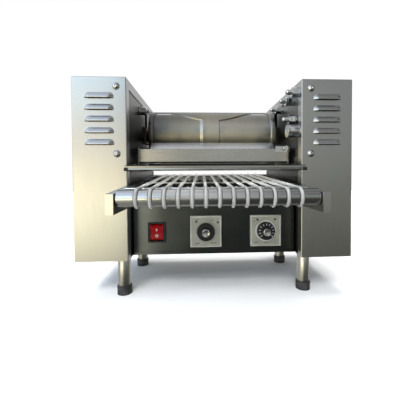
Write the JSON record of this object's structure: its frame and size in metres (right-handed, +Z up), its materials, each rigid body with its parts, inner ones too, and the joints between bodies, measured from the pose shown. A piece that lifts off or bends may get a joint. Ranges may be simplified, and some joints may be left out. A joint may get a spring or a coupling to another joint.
{
  "type": "drum wrapper sheet machine",
  "caption": "Table-top machine with a heated drum between two steel cabinets, a batter tank and drip tray in front, a conveyor of round cords below and a control panel.",
  "frame": {"origin": "middle of the whole outline, on the surface that the feet stand on", "axes": "+X to the right as the user faces the control panel, +Y from the front to the back, +Z up"},
  "size_m": [0.404, 0.294, 0.322],
  "materials": {
    "stainless_sheet": "brushed stainless steel sheet",
    "polished_steel": "polished steel",
    "drum_steel": "satin steel baking surface, tinted by heat",
    "plain_steel": "plain steel plate",
    "bronze": "sintered bronze",
    "cord": "translucent off-white polyurethane",
    "black_rubber": "matt black rubber",
    "black_plastic": "matt black plastic",
    "red_plastic": "glossy red, lit when on",
    "grey_plastic": "warm grey plastic",
    "nylon": "natural nylon",
    "motor_paint": "dark grey paint",
    "heater_sheath": "heat-darkened steel sheath"
  },
  "bodies": {
    "chassis": {"base_plate": "stainless_sheet", "left_side_plate": "stainless_sheet", "right_side_plate": "stainless_sheet", "left_cover": "stainless_sheet", "right_cover": "stainless_sheet", "cover_screws": "polished_steel", "control_panel": "stainless_sheet", "deck_plate": "stainless_sheet", "rear_panel": "stainless_sheet", "cable_gland": "black_plastic", "rear_tie_rod": "polished_steel", "legs": "polished_steel", "leg_nuts": "plain_steel", "rubber_feet": "black_rubber", "drum_bearings": "bronze", "heater_carrier": "plain_steel", "heater_rods": "heater_sheath", "heater_clamp": "plain_steel", "batter_tank": "stainless_sheet", "tank_tab": "polished_steel", "tank_rails": "stainless_sheet", "doctor_plate": "polished_steel", "tray_rails": "stainless_sheet", "peel_knife": "polished_steel", "knife_holder_bar": "plain_steel", "wrapper_chute": "polished_steel", "left_conveyor_bracket": "stainless_sheet", "right_conveyor_bracket": "stainless_sheet", "front_roller_axle": "polished_steel", "conveyor_bushes": "bronze", "conveyor_cords": "cord", "cord_support_rods": "polished_steel", "idler_pins": "plain_steel", "gear_motor": "motor_paint", "gearbox": "plain_steel", "motor_bracket": "plain_steel", "plate_bolts": "polished_steel", "socket_boss": "polished_steel", "switch_bezel": "black_plastic", "temperature_controller_case": "grey_plastic", "speed_controller_case": "grey_plastic", "terminal_block": "nylon", "solid_state_relay": "black_plastic"},
    "drum": {"drum_shell": "drum_steel", "drum_left_flange": "drum_steel", "drum_right_flange": "drum_steel", "drum_drive_shaft": "polished_steel", "drum_gear": "plain_steel"},
    "front_roller": {"front_roller": "polished_steel"},
    "drive_roller": {"rear_roller": "polished_steel", "rear_roller_shaft": "polished_steel", "roller_gear": "plain_steel"},
    "upper_idler": {"upper_idler_gear": "nylon"},
    "lower_idler": {"lower_idler_gear": "nylon"},
    "motor_output": {"motor_shaft": "polished_steel", "motor_pinion": "plain_steel"},
    "rocker": {"switch_rocker": "red_plastic"},
    "temperature_knob": {"temperature_dial": "black_plastic"},
    "speed_knob": {"speed_dial": "black_plastic"},
    "tray": {"drip_tray": "stainless_sheet"}
  },
  "joints": [
    {"name": "drum_turn", "type": "hinge", "parent": "chassis", "child": "drum", "pos_m": [0, 0.079, 0.257], "axis": [-1, 0, 0], "continuous": true},
    {"name": "upper_idler_turn", "type": "hinge", "parent": "chassis", "child": "upper_idler", "pos_m": [0, 0.09974, 0.21041], "axis": [1, 0, 0], "continuous": true},
    {"name": "lower_idler_turn", "type": "hinge", "parent": "chassis", "child": "lower_idler", "pos_m": [0, 0.12581, 0.19556], "axis": [-1, 0, 0], "continuous": true},
    {"name": "drive_roller_turn", "type": "hinge", "parent": "chassis", "child": "drive_roller", "pos_m": [0, 0.134, 0.173], "axis": [1, 0, 0], "continuous": true},
    {"name": "front_roller_turn", "type": "hinge", "parent": "chassis", "child": "front_roller", "pos_m": [0, -0.134, 0.157], "axis": [1, 0, 0], "continuous": true},
    {"name": "motor_turn", "type": "hinge", "parent": "chassis", "child": "motor_output", "pos_m": [0, 0.03671, 0.27239], "axis": [1, 0, 0], "continuous": true},
    {"name": "mains_switch", "type": "hinge", "parent": "chassis", "child": "rocker", "pos_m": [-0.09, -0.0245, 0.0945], "axis": [-1, 0, 0], "range_deg": [0, 14]},
    {"name": "temperature_setting", "type": "hinge", "parent": "chassis", "child": "temperature_knob", "pos_m": [-0.0145, -0.03, 0.0955], "axis": [0, 1, 0], "range_deg": [0, 300]},
    {"name": "speed_setting", "type": "hinge", "parent": "chassis", "child": "speed_knob", "pos_m": [0.0785, -0.03, 0.0955], "axis": [0, 1, 0], "range_deg": [0, 270]},
    {"name": "tray_slide", "type": "slide", "parent": "chassis", "child": "tray", "axis": [0, -1, 0], "range_m": [0, 0.08]}
  ],
  "couplings": [
    {"joint": "upper_idler_turn", "follows": "drum_turn", "ratio": 2.4},
    {"joint": "lower_idler_turn", "follows": "drum_turn", "ratio": 2.4},
    {"joint": "drive_roller_turn", "follows": "drum_turn", "ratio": 4},
    {"joint": "front_roller_turn", "follows": "drum_turn", "ratio": 4},
    {"joint": "motor_turn", "follows": "drum_turn", "ratio": 4}
  ]
}
